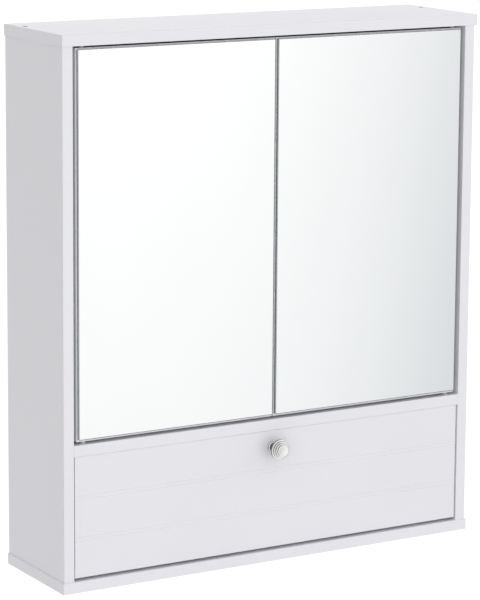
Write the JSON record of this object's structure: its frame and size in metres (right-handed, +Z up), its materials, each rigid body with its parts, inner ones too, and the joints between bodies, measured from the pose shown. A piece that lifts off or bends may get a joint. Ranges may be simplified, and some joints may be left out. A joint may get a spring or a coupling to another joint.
{
  "type": "hanging wall cabinet",
  "caption": "White wall cabinet with inset mirror doors on pivot pins above a beaded drop-down flap with a turned metal knob.",
  "frame": {"origin": "on the wall plane, midway between the two wall screw holes", "axes": "+X to the right along the front, +Y into the wall, +Z up; the doors face -Y"},
  "size_m": [0.507, 0.1503, 0.58],
  "materials": {
    "white_lacquer": "satin white lacquer on board",
    "white_board": "white laminate on board",
    "mirror_glass": "silvered, ground arris",
    "foam_tape": "foam tape",
    "zinc_steel": "zinc plated",
    "screw_steel": "nickel plated",
    "black_screw": "black phosphated",
    "beech": "raw beech",
    "cast_zinc": "die cast zinc",
    "white_nylon": "natural nylon",
    "white_plastic": "moulded plastic",
    "magnet": "sintered magnet",
    "satin_nickel": "satin nickel, turned"
  },
  "bodies": {
    "carcass": {"top_panel": "white_lacquer", "bottom_panel": "white_lacquer", "left_side_panel": "white_lacquer", "right_side_panel": "white_lacquer", "fixed_shelf": "white_lacquer", "adjustable_shelf": "white_lacquer", "back_panel": "white_board", "hanging_rail": "white_board", "shelf_pins": "zinc_steel", "top_screws": "black_screw", "bottom_screws": "black_screw", "panel_dowels": "beech", "shelf_dowels": "beech", "cam_bolts": "zinc_steel", "cam_locks": "cast_zinc", "door_bushes": "white_nylon", "flap_bushes": "white_nylon", "latch_housing": "white_plastic", "latch_screws": "screw_steel", "latch_springs": "zinc_steel", "flap_catch": "white_plastic", "catch_magnet": "magnet", "catch_poles": "zinc_steel", "catch_screws": "screw_steel"},
    "left_door": {"left_door_board": "white_lacquer", "left_mirror": "mirror_glass", "left_mirror_pads": "foam_tape", "left_pivot_pins": "zinc_steel", "left_washers": "white_nylon", "left_strike": "zinc_steel", "left_strike_screw": "screw_steel"},
    "right_door": {"right_door_board": "white_lacquer", "right_mirror": "mirror_glass", "right_mirror_pads": "foam_tape", "right_pivot_pins": "zinc_steel", "right_washers": "white_nylon", "right_strike": "zinc_steel", "right_strike_screw": "screw_steel"},
    "left_plunger_body": {"left_plunger": "white_plastic", "left_plunger_tip": "magnet"},
    "right_plunger_body": {"right_plunger": "white_plastic", "right_plunger_tip": "magnet"},
    "flap": {"flap_board": "white_lacquer", "flap_pins": "zinc_steel", "flap_washers": "white_nylon", "knob": "satin_nickel", "knob_screw": "screw_steel", "flap_strike": "zinc_steel", "flap_strike_screws": "screw_steel"}
  },
  "joints": [
    {"name": "left_door_hinge", "type": "hinge", "parent": "carcass", "child": "left_door", "pos_m": [-0.2265, -0.1228, -0.1727], "axis": [0, 0, -1], "range_deg": [0, 110]},
    {"name": "right_door_hinge", "type": "hinge", "parent": "carcass", "child": "right_door", "pos_m": [0.2265, -0.1228, -0.1727], "axis": [0, 0, 1], "range_deg": [0, 110]},
    {"name": "flap_hinge", "type": "hinge", "parent": "carcass", "child": "flap", "pos_m": [0, -0.1226, -0.513], "axis": [1, 0, 0], "range_deg": [0, 110]},
    {"name": "left_plunger_slide", "type": "slide", "parent": "carcass", "child": "left_plunger_body", "axis": [0, -1, 0], "range_m": [0, 0.014]},
    {"name": "right_plunger_slide", "type": "slide", "parent": "carcass", "child": "right_plunger_body", "axis": [0, -1, 0], "range_m": [0, 0.014]}
  ],
  "couplings": [
    {"joint": "left_plunger_slide", "follows": "left_door_hinge", "m_per_rad": 0.00729},
    {"joint": "right_plunger_slide", "follows": "right_door_hinge", "m_per_rad": 0.00729}
  ]
}
